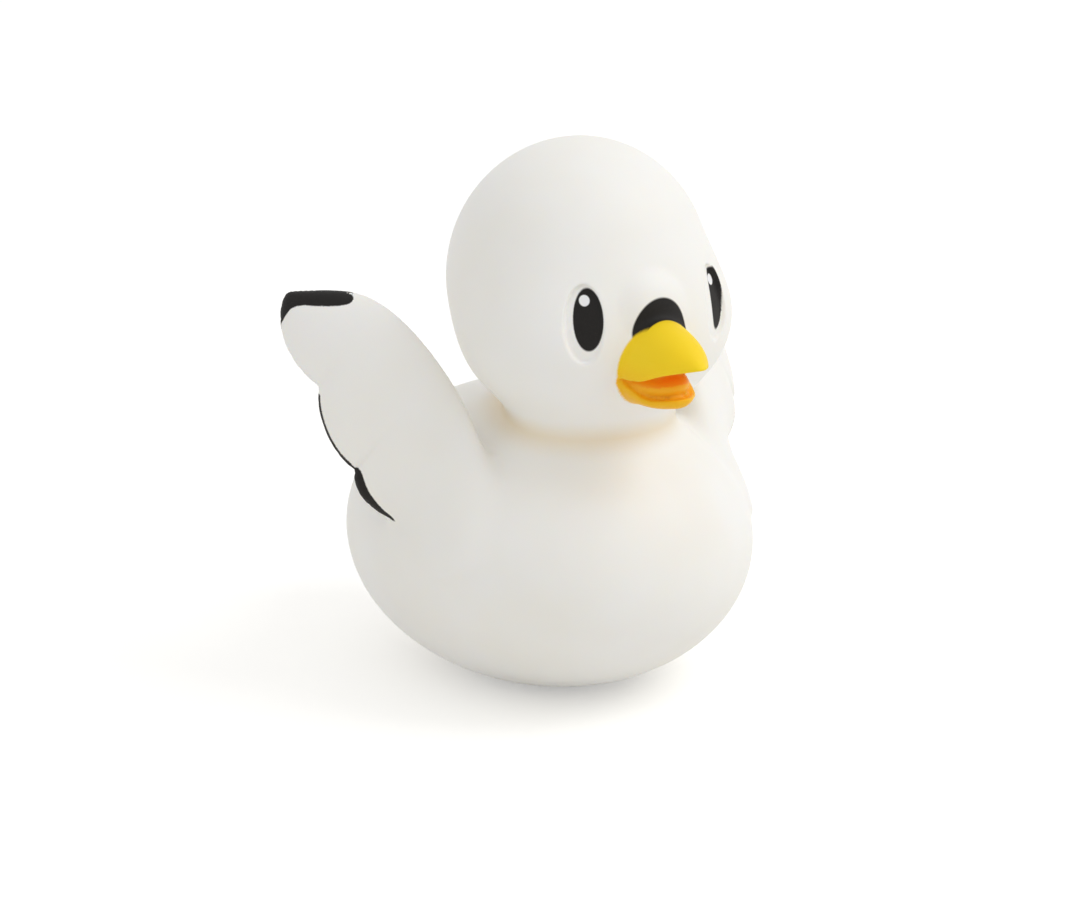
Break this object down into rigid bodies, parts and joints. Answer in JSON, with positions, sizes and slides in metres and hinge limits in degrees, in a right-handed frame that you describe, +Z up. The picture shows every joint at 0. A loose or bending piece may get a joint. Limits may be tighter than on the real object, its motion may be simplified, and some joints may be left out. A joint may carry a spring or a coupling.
{
  "type": "rubber duck",
  "caption": "Rubber duck bath toy in soft white vinyl with raised wings, feather-lobed wing tips, an open bill, oval eyes and a flat foot.",
  "frame": {"origin": "centre of the outline seen from above, at the level of the flat foot", "axes": "+Z up, the bill points along -Y, +X is the duck's left side"},
  "size_m": [0.0832, 0.0884, 0.0919],
  "materials": {
    "vinyl": "soft matte white vinyl with sprayed black and yellow marks"
  },
  "bodies": {
    "root": {"duck_shell": "vinyl"}
  },
  "joints": []
}
